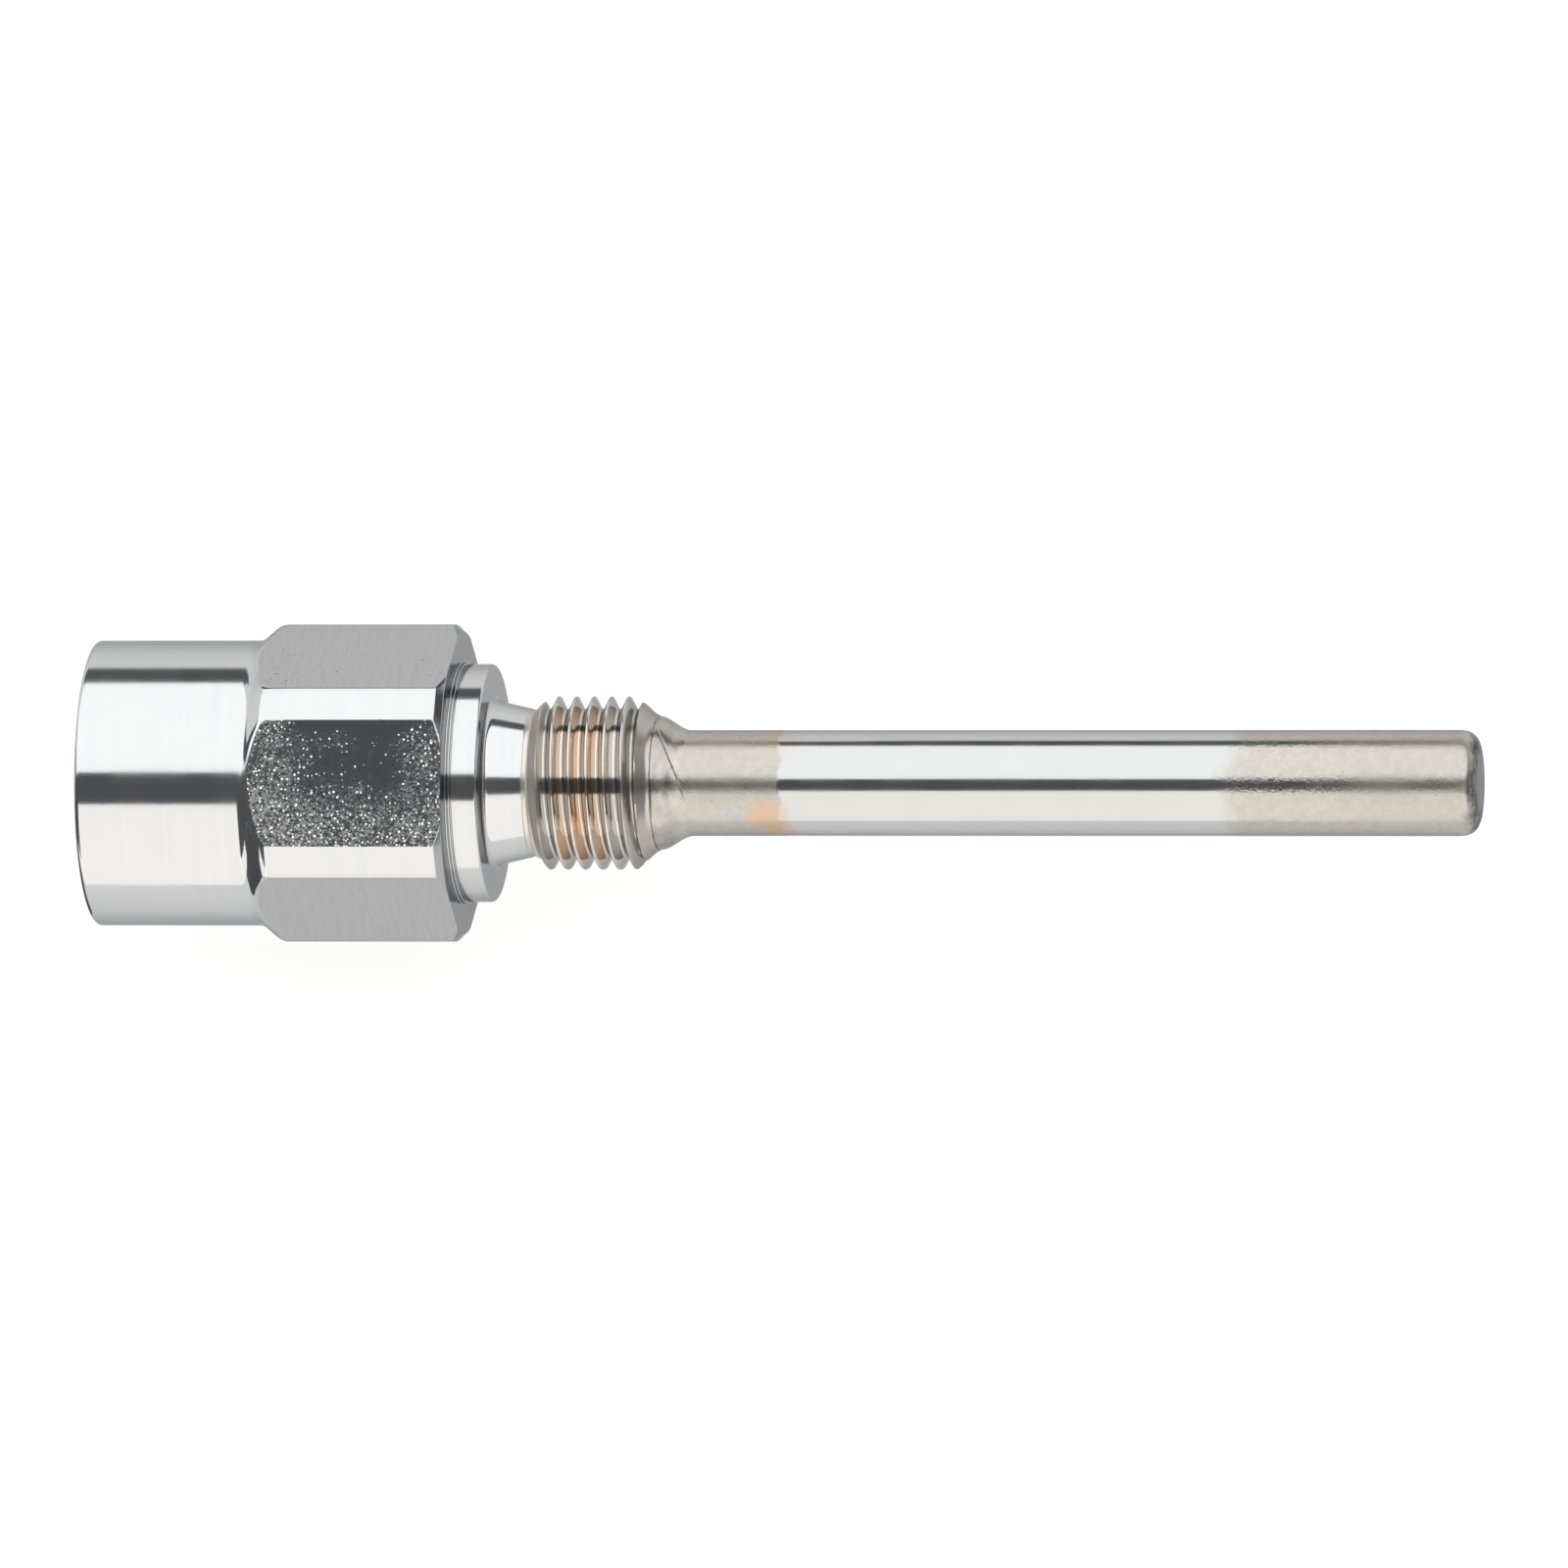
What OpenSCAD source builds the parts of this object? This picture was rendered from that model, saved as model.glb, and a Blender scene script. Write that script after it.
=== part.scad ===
// Thermowell: socket with hexagon, sealing collar and pipe-thread nose, welded to a closed probe tube.
// Millimetres. +X runs along the axis towards the closed tip, +Z is normal to a hexagon flat.
// The origin is on the axis, at the first full crest of the process thread.

/* [Sensor socket] */
// outside diameter of the round socket
socket_d = 21.6; // [20.6:0.1:22.8]
// distance from the socket mouth to the end of its round part
socket_len = 12.5; // [11.5:0.1:14]
// minor diameter of the inside thread for the sensor (M18 x 1.5)
socket_bore_d = 16.376; // [15.4:0.001:17]
// depth of the socket bore at full diameter
socket_bore_depth = 13; // [12:0.5:18]
// rounding of the outer mouth edge
mouth_round = 0.35; // [0.2:0.05:0.6]
// leg of the 45 degree lead-in chamfer of the bore
mouth_chamfer = 0.9; // [0.5:0.05:1.2]

/* [Hexagon] */
// width across the flats
hex_af = 22; // [21:0.5:24]
// turned diameter over the hexagon corners
hex_turned_d = 24; // [23.4:0.1:25]
// distance from the socket mouth to the far face of the hexagon
hex_end = 28.2; // [27:0.1:29]
// slope of the shoulder between the socket and the hexagon, in degrees
shoulder_angle = 42; // [35:1:50]
// fillet between the socket and the shoulder
shoulder_fillet = 1; // [0.5:0.1:1.2]
// rounding of the hexagon corners at the shoulder
shoulder_round = 1.2; // [0.6:0.1:1.4]
// axial length of the chamfer at the far end
hex_chamfer_len = 0.75; // [0.3:0.05:1]
// radial depth of the chamfer at the far end
hex_chamfer_depth = 0.55; // [0.3:0.05:0.9]

/* [Sealing collar and neck] */
// diameter of the sealing collar
collar_d = 18; // [17:0.1:19]
// distance from the socket mouth to the sealing face
seal_plane = 30.4; // [29.6:0.1:31.2]
// rounding of the edge of the sealing face
collar_round = 0.35; // [0.2:0.05:0.6]
// depth of the undercut between the hexagon and the collar
undercut_depth = 0.15; // [0.05:0.05:0.4]
// width of that undercut
undercut_w = 0.3; // [0.2:0.05:0.5]
// diameter of the neck where it leaves the sealing face
neck_root_d = 12; // [11.6:0.1:12.6]
// fillet between the sealing face and the neck
neck_fillet = 0.8; // [0.4:0.1:1]
// diameter of the thread relief at the end of the neck
relief_d = 11.1; // [10.8:0.05:11.6]
// width of the thread relief
relief_w = 0.55; // [0.3:0.05:0.8]

/* [Process thread] */
// major diameter of the pipe thread (G 1/4)
thread_d = 13.157; // [12.9:0.001:13.4]
// pitch of the pipe thread, 19 turns to the inch
thread_pitch = 1.337; // [1.2:0.001:1.45]
// distance from the sealing face to the first full turn of the thread
thread_gap = 4.3; // [4:0.1:4.6]
// axial length of the chamfer at the start of the thread
thread_start_chamfer = 1; // [0.6:0.1:1.3]
// axial length of the chamfer at the end of the nose
nose_chamfer = 1.7; // [1.2:0.1:2]
// distance from the sealing face to the end of the threaded nose
nose_len = 12.6; // [12:0.1:14]
// diameter of the nose at its end face
nose_end_d = 10.1; // [9.8:0.1:10.6]

/* [Probe tube] */
// outside diameter of the tube
tube_d = 8; // [7.6:0.1:8.4]
// wall thickness of the tube
tube_wall = 0.8; // [0.7:0.05:1.1]
// immersion length from the sealing face to the tip
immersion = 75; // [60:1:120]
// length of the tube that sits inside the socket body
tube_seat = 14; // [12:0.5:15]

/* [Welds and tip] */
// length of the fillet weld along the tube
weld_len = 2.7; // [2:0.1:3.4]
// thickness of the end plug outside the tube
plug_cap = 1.5; // [1.3:0.1:2.2]
// rounding of the tip edge
tip_round = 1.2; // [0.6:0.05:1.25]

/* [Fits] */
// diametral clearance of the tube in its seat
seat_clearance = 0.05; // [0.02:0.01:0.12]

/* [Hidden] */

steel_body = [0.72, 0.73, 0.74];
steel_tube = [0.74, 0.73, 0.71];
steel_weld = [0.58, 0.55, 0.50];

round_fn = 96;
thread_start = seal_plane + thread_gap;
datum = thread_start + 0.5;
nose_end = seal_plane + nose_len;
// Whitworth form with flats for its rounded crests and roots
flank_angle = 27.5;
thread_depth = thread_pitch * 0.64;
thread_flat = thread_pitch / 6;
groove_over = 0.1;
groove_count = floor((nose_end - nose_chamfer * 0.6 - datum) / thread_pitch + 0.5) + 1;
tube_start = nose_end - tube_seat;
tip = seal_plane + immersion;
plug_seam = tip - plug_cap;
socket_r = socket_d / 2;
turned_r = hex_turned_d / 2;
collar_r = collar_d / 2;
relief_r = relief_d / 2;
thread_r = thread_d / 2;
tube_r = tube_d / 2;
passage_r = tube_r - tube_wall;
seat_r = tube_r + seat_clearance / 2;
relief_end = thread_start - thread_start_chamfer;
relief_start = relief_end - relief_w;
// how far blanks run into each other, and cuts past the surface
overlap = 1;
// the drill leaves a floor cone of 118 degrees
floor_depth = socket_bore_depth + (socket_bore_d / 2 - passage_r) * tan(31);

// stretch of a circle, as points for a turned profile; 90 points away from the axis, 0 to the tip
function arc(cx, cr, rad, a0, a1, n = 5) =
    [for (i = [0 : n]) let (a = a0 + (a1 - a0) * i / n) [cr + rad * sin(a), cx + rad * cos(a)]];

// revolves a profile of [radius, distance from the socket mouth] about X
module turned(profile) {
    translate([-datum, 0, 0])
        rotate([0, 90, 0])
            rotate_extrude($fn = round_fn)
                polygon(profile);
}

// a round bore along X between two distances from the socket mouth
module bore(x0, x1, r) {
    translate([x0 - datum, 0, 0])
        rotate([0, 90, 0])
            cylinder(h = x1 - x0, r = r, $fn = round_fn);
}

// round part of the socket, with a rounded mouth; it runs on into the hexagon
module socket_blank() {
    turned(concat(
        [[0, 0]],
        arc(mouth_round, socket_r - mouth_round, mouth_round, 180, 90, 4),
        [[socket_r, socket_len + overlap], [0, socket_len + overlap]]
    ));
}

// hexagon, turned over its corners at both ends, with a filleted shoulder towards the socket
module hexagon_blank() {
    drop = 1 - cos(shoulder_angle);
    fillet_end = socket_len + shoulder_fillet * sin(shoulder_angle);
    rise = turned_r - socket_r - (shoulder_fillet + shoulder_round) * drop;
    round_start = fillet_end + rise / tan(shoulder_angle);
    round_end = round_start + shoulder_round * sin(shoulder_angle);
    intersection() {
        turned(concat(
            [[0, socket_len]],
            arc(socket_len, socket_r + shoulder_fillet, shoulder_fillet, -90, shoulder_angle - 90),
            arc(round_end, turned_r - shoulder_round, shoulder_round, 90 + shoulder_angle, 90),
            [
                [turned_r, hex_end - hex_chamfer_len],
                [turned_r - hex_chamfer_depth * 0.25, hex_end - hex_chamfer_len * 0.5],
                [turned_r - hex_chamfer_depth, hex_end],
                [0, hex_end]
            ]
        ));
        translate([socket_len - overlap - datum, 0, 0])
            rotate([0, 90, 0])
                rotate([0, 0, 30])
                    cylinder(h = hex_end - socket_len + 2 * overlap, r = hex_af / 2 / cos(30), $fn = 6);
    }
}

// collar, tapered neck, relief and the nose before its thread is cut
module nose_blank() {
    root_r = neck_root_d / 2;
    turned(concat(
        [
            [0, hex_end - overlap],
            [collar_r, hex_end - overlap],
            [collar_r, hex_end + undercut_w * 0.5],
            [collar_r - undercut_depth, hex_end + undercut_w * 0.75],
            [collar_r - undercut_depth, hex_end + undercut_w * 1.25],
            [collar_r, hex_end + undercut_w * 1.5]
        ],
        arc(seal_plane - collar_round, collar_r - collar_round, collar_round, 90, 0, 4),
        arc(seal_plane + neck_fillet, root_r + neck_fillet, neck_fillet, -180, -90),
        [
            [relief_r, relief_start],
            [relief_r, relief_end],
            [thread_r, thread_start],
            [thread_r, nose_end - nose_chamfer],
            [nose_end_d / 2, nose_end],
            [0, nose_end]
        ]
    ));
}

// grooves of the process thread, as rings at its pitch, with a full crest at the origin
module thread_grooves() {
    root_r = thread_r - thread_depth;
    out_r = thread_r + groove_over;
    floor_half = thread_flat / 2;
    open_half = floor_half + (thread_depth + groove_over) * tan(flank_angle);
    for (i = [0 : groove_count - 1])
        let (mid = datum + (i - 0.5) * thread_pitch)
            turned([
                [out_r, mid - open_half],
                [root_r, mid - floor_half],
                [root_r, mid + floor_half],
                [out_r, mid + open_half]
            ]);
}

// everything hollow in the socket body, from the mouth to the tube seat
module body_hollow() {
    bore_r = socket_bore_d / 2;
    // lead-in cone at the mouth
    turned([
        [0, -overlap],
        [bore_r + mouth_chamfer + overlap, -overlap],
        [bore_r, mouth_chamfer],
        [0, mouth_chamfer]
    ]);
    // thread bore
    bore(mouth_chamfer - overlap / 2, socket_bore_depth, bore_r);
    // drilled floor cone
    turned([
        [0, socket_bore_depth - overlap / 2],
        [bore_r, socket_bore_depth - overlap / 2],
        [bore_r, socket_bore_depth],
        [passage_r, floor_depth],
        [0, floor_depth]
    ]);
    // passage to the tube, and the tube seat
    bore(floor_depth - overlap / 2, tube_start + overlap / 2, passage_r);
    bore(tube_start, nose_end + overlap, seat_r);
}

module socket_body() {
    color(steel_body)
        difference() {
            union() {
                socket_blank();
                hexagon_blank();
                nose_blank();
            }
            thread_grooves();
            body_hollow();
        }
}

module probe_tube() {
    color(steel_tube)
        difference() {
            bore(tube_start, plug_seam, tube_r);
            bore(tube_start - overlap, plug_seam + overlap, passage_r);
        }
}

// hollow fillet bead between the end of the nose and the tube
module root_weld() {
    bead_r = nose_end_d / 2 - 0.05;
    color(steel_weld)
        turned([
            [tube_r, nose_end],
            [bead_r, nose_end],
            [bead_r - 0.02, nose_end + 0.2],
            [bead_r - 0.11, nose_end + weld_len * 0.2],
            [bead_r - 0.32, nose_end + weld_len * 0.37],
            [tube_r + 0.34, nose_end + weld_len * 0.6],
            [tube_r + 0.12, nose_end + weld_len * 0.78],
            [tube_r + 0.02, nose_end + weld_len],
            [tube_r, nose_end + weld_len]
        ]);
}

// disc that closes the tube, with its edge rounded by the weld
module end_plug() {
    color(steel_weld)
        turned(concat(
            [[0, plug_seam], [tube_r, plug_seam]],
            arc(tip - tip_round, tube_r - tip_round, tip_round, 90, 0, 4),
            [[0, tip]]
        ));
}

socket_body();
probe_tube();
root_weld();
end_plug();
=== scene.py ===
"""Thermowell in pale studio light: machined body, probe tube, weld bead and closed tip.

The shapes are worked out in millimetres. X is measured from the socket mouth towards the tip, and phi is the
angle round X from +Y towards +Z. Skin.build turns them into metres, in the frame of the CAD model.
"""
import math

import bmesh
import bpy
import numpy as np
from mathutils import Matrix, Vector, noise


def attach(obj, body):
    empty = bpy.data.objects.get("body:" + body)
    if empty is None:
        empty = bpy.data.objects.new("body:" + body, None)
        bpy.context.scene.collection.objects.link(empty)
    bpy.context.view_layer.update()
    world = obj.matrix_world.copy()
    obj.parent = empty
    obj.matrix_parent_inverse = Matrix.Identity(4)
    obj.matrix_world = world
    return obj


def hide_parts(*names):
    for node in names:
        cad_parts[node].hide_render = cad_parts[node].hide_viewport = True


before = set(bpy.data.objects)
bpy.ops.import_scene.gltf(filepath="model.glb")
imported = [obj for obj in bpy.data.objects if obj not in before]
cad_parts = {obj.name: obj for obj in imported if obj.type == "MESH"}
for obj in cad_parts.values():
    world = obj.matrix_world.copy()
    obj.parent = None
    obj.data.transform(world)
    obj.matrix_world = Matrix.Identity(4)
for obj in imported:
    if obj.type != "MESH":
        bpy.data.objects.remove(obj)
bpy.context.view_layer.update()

# ---------------------------------------------------------------- sizes, mm from the socket mouth
MM = 0.001
PER_METRE = 1000.0
TAU = 2 * math.pi
DATUM = 35.2                # the CAD model's origin lies this far from the socket mouth

# socket, shoulder and hexagon
CONE_R = 9.088              # the lead-in cone of the bore meets the mouth face here
RIM_R = 9.13                # a line just outside it, which keeps the shading of the mouth face flat
SOCKET_R = 10.8
SHOULDER_FROM, SHOULDER_TO = 12.85, 14.306
SHOULDER_OVER = 14.9        # the hexagon is plain from here on
HEX_FROM, HEX_TO = 12.9, 28.1       # the flats are cut between these
FLAT_R = 11.0               # half the width across the flats
TURNED_R = 12.0             # over the corners
HEX_CHAMFER_X, HEX_CHAMFER_R = 27.45, 11.4
HEX_END = 28.04

# sealing collar, neck and thread relief
STEP_X, STEP_R = 28.36, 9.12        # narrow step between the hexagon and the undercut
UNDERCUT_X, UNDERCUT_R = 28.41, 8.88
COLLAR_X, COLLAR_R = 28.5, 9.0
SEAL_X = 30.4
SEAL_OUTER_R, SEAL_INNER_R = 7.7, 7.6       # rings of the sealing face where the mesh changes its angles
NECK_ROOT_R = 6.28
NECK_X, NECK_R = 33.3, 5.62
RELIEF_X, RELIEF_R = 33.36, 5.55
THREAD_FROM = 33.6          # the screw surface begins here, in the relief

# outside pipe thread on the nose
PITCH = 1.337
THREAD_R = 6.5785           # over the crests
THREAD_APEX = 6.655         # where the flanks would meet
HALF_ANGLE = math.radians(27.5)     # between a flank and the radius
CREST_ROUND = 0.085
ROOT_ROUND = 0.21
CREST_X = 38.03             # a crest crosses +Y here
START_X, START_CHAMFER = 34.7, 1.0  # where the nose has its full width, and the chamfer before it
NOSE_CHAMFER, NOSE_CHAMFER_SLOPE = 1.75, 0.9
NOSE_LEAST_R = 5.1          # the end chamfer comes down to this
NOSE_FACE_R = 5.02          # outer ring of the end face
NOSE_END = 43.0

# sensor bore, with its inside thread, and the passage behind it
BORE_R = 8.188              # minor radius of the thread
BORE_MAJOR_R = 9.0
BORE_PITCH = 1.5
BORE_ROOT_HALF = 0.094      # half the width of the flat at its root
BORE_FLANK_SLOPE = 1.733    # 30 degrees between a flank and the radius
BORE_MOUTH_X = 0.02
BORE_FADE_END, BORE_FADE = 11.6, 1.2        # the thread runs out over this length
BORE_THREAD_END = 12.0
BORE_DEPTH = 13.0
FLOOR_X = 15.99             # small end of the drilled floor cone

# probe tube, weld bead and tip
TUBE_R = 4.0
TUBE_BORE_R = 3.2
TUBE_START = 29.0
SEAT_R = 4.025
WELD_FROM, WELD_TO = 43.1, 45.55
WELD_LEG = 1.03             # height of the bead at the nose
SEAM_X = 103.9              # the tip is a piece of its own from here
TIP_X = 105.4
TIP_LONG, TIP_WIDE = 1.47, 1.75     # the rounded edge of the tip, along the axis and across it
TIP_SQUARE = 0.84           # 1 makes that edge elliptical, and less makes it squarer
TIP_FACE_R = 2.5            # the face is plain inside this
TIP_FACE_RINGS = (1.2, 0.3)

# how fine the meshes are: points round a ring, and rows of points to a turn of a thread
NOSE_SIDES, BORE_SIDES, TUBE_SIDES, WELD_SIDES = 200, 168, 160, 200
NOSE_ROWS, BORE_ROWS = 22, 10

# material slots of the body and of the tube
POLISHED, BLASTED, THREADED, BORED = range(4)
TUBE_OUTSIDE, TUBE_INSIDE = range(2)


# ---------------------------------------------------------------- profiles
def clamp(t):
    """t, kept between 0 and 1."""
    return min(1.0, max(0.0, t))


def ease(t):
    """Smooth rise from 0 to 1 while t goes from 0 to 1."""
    t = clamp(t)
    return t * t * (3 - 2 * t)


def soft_min(a, b, blend):
    """The smaller of two values, rounded off where they are closer than blend."""
    near = max(blend - abs(a - b), 0.0) / blend
    return min(a, b) - near * near * blend / 4


def soft_max(a, b, blend):
    """The larger of two values, rounded off in the same way."""
    return -soft_min(-a, -b, blend)


def evenly(count):
    """Angles of a ring with equal steps."""
    return [TAU * j / count for j in range(count)]


def rounded(points, steps):
    """Polyline of (x, r, fillet) with true arcs at its corners and a short support span on either side."""
    support = 0.03
    straight = math.radians(89)
    out = []
    for i, (x, r, fillet) in enumerate(points):
        corner = np.array([x, r])
        if i in (0, len(points) - 1) or fillet <= 0:
            out.append(tuple(corner))
            continue
        back = np.array(points[i - 1][:2]) - corner
        ahead = np.array(points[i + 1][:2]) - corner
        back_length, ahead_length = np.linalg.norm(back), np.linalg.norm(ahead)
        back, ahead = back / back_length, ahead / ahead_length
        half = math.acos(max(-1, min(1, float(back @ ahead)))) / 2
        if half > straight:
            out.append(tuple(corner))
            continue
        reach = min(fillet / math.tan(half), 0.46 * back_length, 0.46 * ahead_length)
        radius = reach * math.tan(half)
        middle = (back + ahead) / np.linalg.norm(back + ahead)
        centre = corner + middle * radius / math.sin(half)
        first = corner + back * reach - centre
        last = corner + ahead * reach - centre
        first_angle = math.atan2(first[1], first[0])
        swing = (math.atan2(last[1], last[0]) - first_angle + math.pi) % TAU - math.pi
        if reach + support < 0.48 * back_length:
            out.append(tuple(corner + back * (reach + support)))
        for k in range(steps + 1):
            angle = first_angle + swing * k / steps
            out.append((centre[0] + radius * math.cos(angle), centre[1] + radius * math.sin(angle)))
        if reach + support < 0.48 * ahead_length:
            out.append(tuple(corner + ahead * (reach + support)))
    return out


def fill_in(profile, spans):
    """Adds points, so that no step is longer than its stretch of X allows: (from, to, longest step)."""
    out = [profile[0]]
    for (x0, r0), (x1, r1) in zip(profile, profile[1:]):
        length = math.hypot(x1 - x0, r1 - r0)
        middle = (x0 + x1) / 2
        longest = next((step for a, b, step in spans if a <= middle <= b), math.inf)
        count = max(1, math.ceil(length / longest))
        for i in range(1, count + 1):
            t = i / count
            out.append((x0 + (x1 - x0) * t, r0 + (r1 - r0) * t))
    return out


# ---------------------------------------------------------------- mesh building
class Skin:
    """Collects rings of points round X and joins them into one closed surface.

    A ring is a pair of lists: the numbers of its points, and their angles. A tag is a face's material slot.
    """

    def __init__(self):
        self.verts = []
        self.faces = []
        self.tags = []

    def point(self, x, r, phi):
        """Adds a point and returns its number."""
        self.verts.append((x, r * math.cos(phi), r * math.sin(phi)))
        return len(self.verts) - 1

    def ring(self, x, r_of, phis):
        """Adds a ring at x; r_of is its radius, or a function of x and phi that gives it."""
        ids = [self.point(x, r_of(x, phi) if callable(r_of) else r_of, phi) for phi in phis]
        return ids, list(phis)

    def face(self, ids, tag):
        """Adds a face, unless too few of its corners are different points."""
        corners = list(dict.fromkeys(ids))
        if len(corners) > 2:
            self.faces.append(corners)
            self.tags.append(tag)

    def join(self, a, b, tag=0):
        """Joins two rings, with quads where their angles agree and triangles where they don't.

        Where the angles agree, tag may be a function that gives the tag of each quad.
        """
        (ids_a, phis_a), (ids_b, phis_b) = a, b
        count_a, count_b = len(ids_a), len(ids_b)
        if count_a == count_b and max(abs(p - q) for p, q in zip(phis_a, phis_b)) < 1e-9:
            for j in range(count_a):
                k = (j + 1) % count_a
                quad_tag = tag(self.verts, a, b, j) if callable(tag) else tag
                self.face([ids_a[j], ids_a[k], ids_b[k], ids_b[j]], quad_tag)
            return
        i = j = 0
        while i < count_a or j < count_b:
            next_a = phis_a[i + 1] if i + 1 < count_a else TAU + phis_a[0]
            next_b = phis_b[j + 1] if j + 1 < count_b else TAU + phis_b[0]
            here_a = ids_a[i % count_a]
            here_b = ids_b[j % count_b]
            if j >= count_b or (i < count_a and next_a <= next_b):
                self.face([here_a, ids_a[(i + 1) % count_a], here_b], tag)
                i += 1
            else:
                self.face([here_a, ids_b[(j + 1) % count_b], here_b], tag)
                j += 1

    def chain(self, rings, tag=0):
        """Joins each ring of a list to the next."""
        for a, b in zip(rings, rings[1:]):
            self.join(a, b, tag)

    def turned(self, profile, phis, r_of=None, tag=0):
        """Joins a ring for each (x, r) of a profile; r_of(x, r, phi) may change r round the ring."""
        rings = []
        for x, r in profile:
            if r_of:
                rings.append(self.ring(x, lambda at, phi, r=r: r_of(at, r, phi), phis))
            else:
                rings.append(self.ring(x, r, phis))
        self.chain(rings, tag)
        return rings[0], rings[-1]

    def screw(self, head, tail, x_from, x_to, pitch, rows, r_of, tag):
        """Screw surface between two rings with the same angles, at x_from and x_to.

        Its rows of points follow the pitch, and there are so many rows to a turn.
        """
        touch = 1e-4
        phis = head[1]
        count = len(phis)
        step = pitch / rows
        made = {}

        def corner(row, j):
            x = x_from + row * step + pitch * phis[j] / TAU
            if x <= x_from + touch:
                return head[0][j]
            if x >= x_to - touch:
                return tail[0][j]
            if (row, j) not in made:
                made[row, j] = self.point(x, r_of(x, phis[j]), phis[j])
            return made[row, j]

        for row in range(-rows, math.ceil((x_to - x_from) / step)):
            for j in range(count):
                k = (j + 1) % count
                # after a full turn, the same row is a pitch further on
                beside = row if k else row + rows
                quad = [corner(row, j), corner(beside, k), corner(beside + 1, k), corner(row + 1, j)]
                self.face(quad, tag)

    def cap(self, ring, tag=0):
        """Closes a ring with a fan of triangles round a point on the axis."""
        ids = ring[0]
        centre = self.point(self.verts[ids[0]][0], 0.0, 0.0)
        for j, here in enumerate(ids):
            self.face([here, ids[(j + 1) % len(ids)], centre], tag)

    def build(self, name, materials):
        """Makes the object, in metres in the frame of the CAD model, smooth but for its sharp edges."""
        mesh = bpy.data.meshes.new(name)
        mesh.from_pydata([((x - DATUM) * MM, y * MM, z * MM) for x, y, z in self.verts], [], self.faces)
        mesh.polygons.foreach_set("use_smooth", [True] * len(self.faces))
        mesh.polygons.foreach_set("material_index", self.tags)
        for material in materials:
            mesh.materials.append(material)
        mesh.update()
        work = bmesh.new()
        work.from_mesh(mesh)
        loose = [v for v in work.verts if not v.link_faces]
        bmesh.ops.delete(work, geom=loose, context="VERTS")
        bmesh.ops.recalc_face_normals(work, faces=work.faces)
        work.to_mesh(mesh)
        work.free()
        mesh.set_sharp_from_angle(angle=math.radians(48))
        return add_object(name, mesh)


def add_object(name, data):
    """Puts a mesh, light or camera into the scene as an object."""
    thing = bpy.data.objects.new(name, data)
    bpy.context.scene.collection.objects.link(thing)
    return thing


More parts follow.
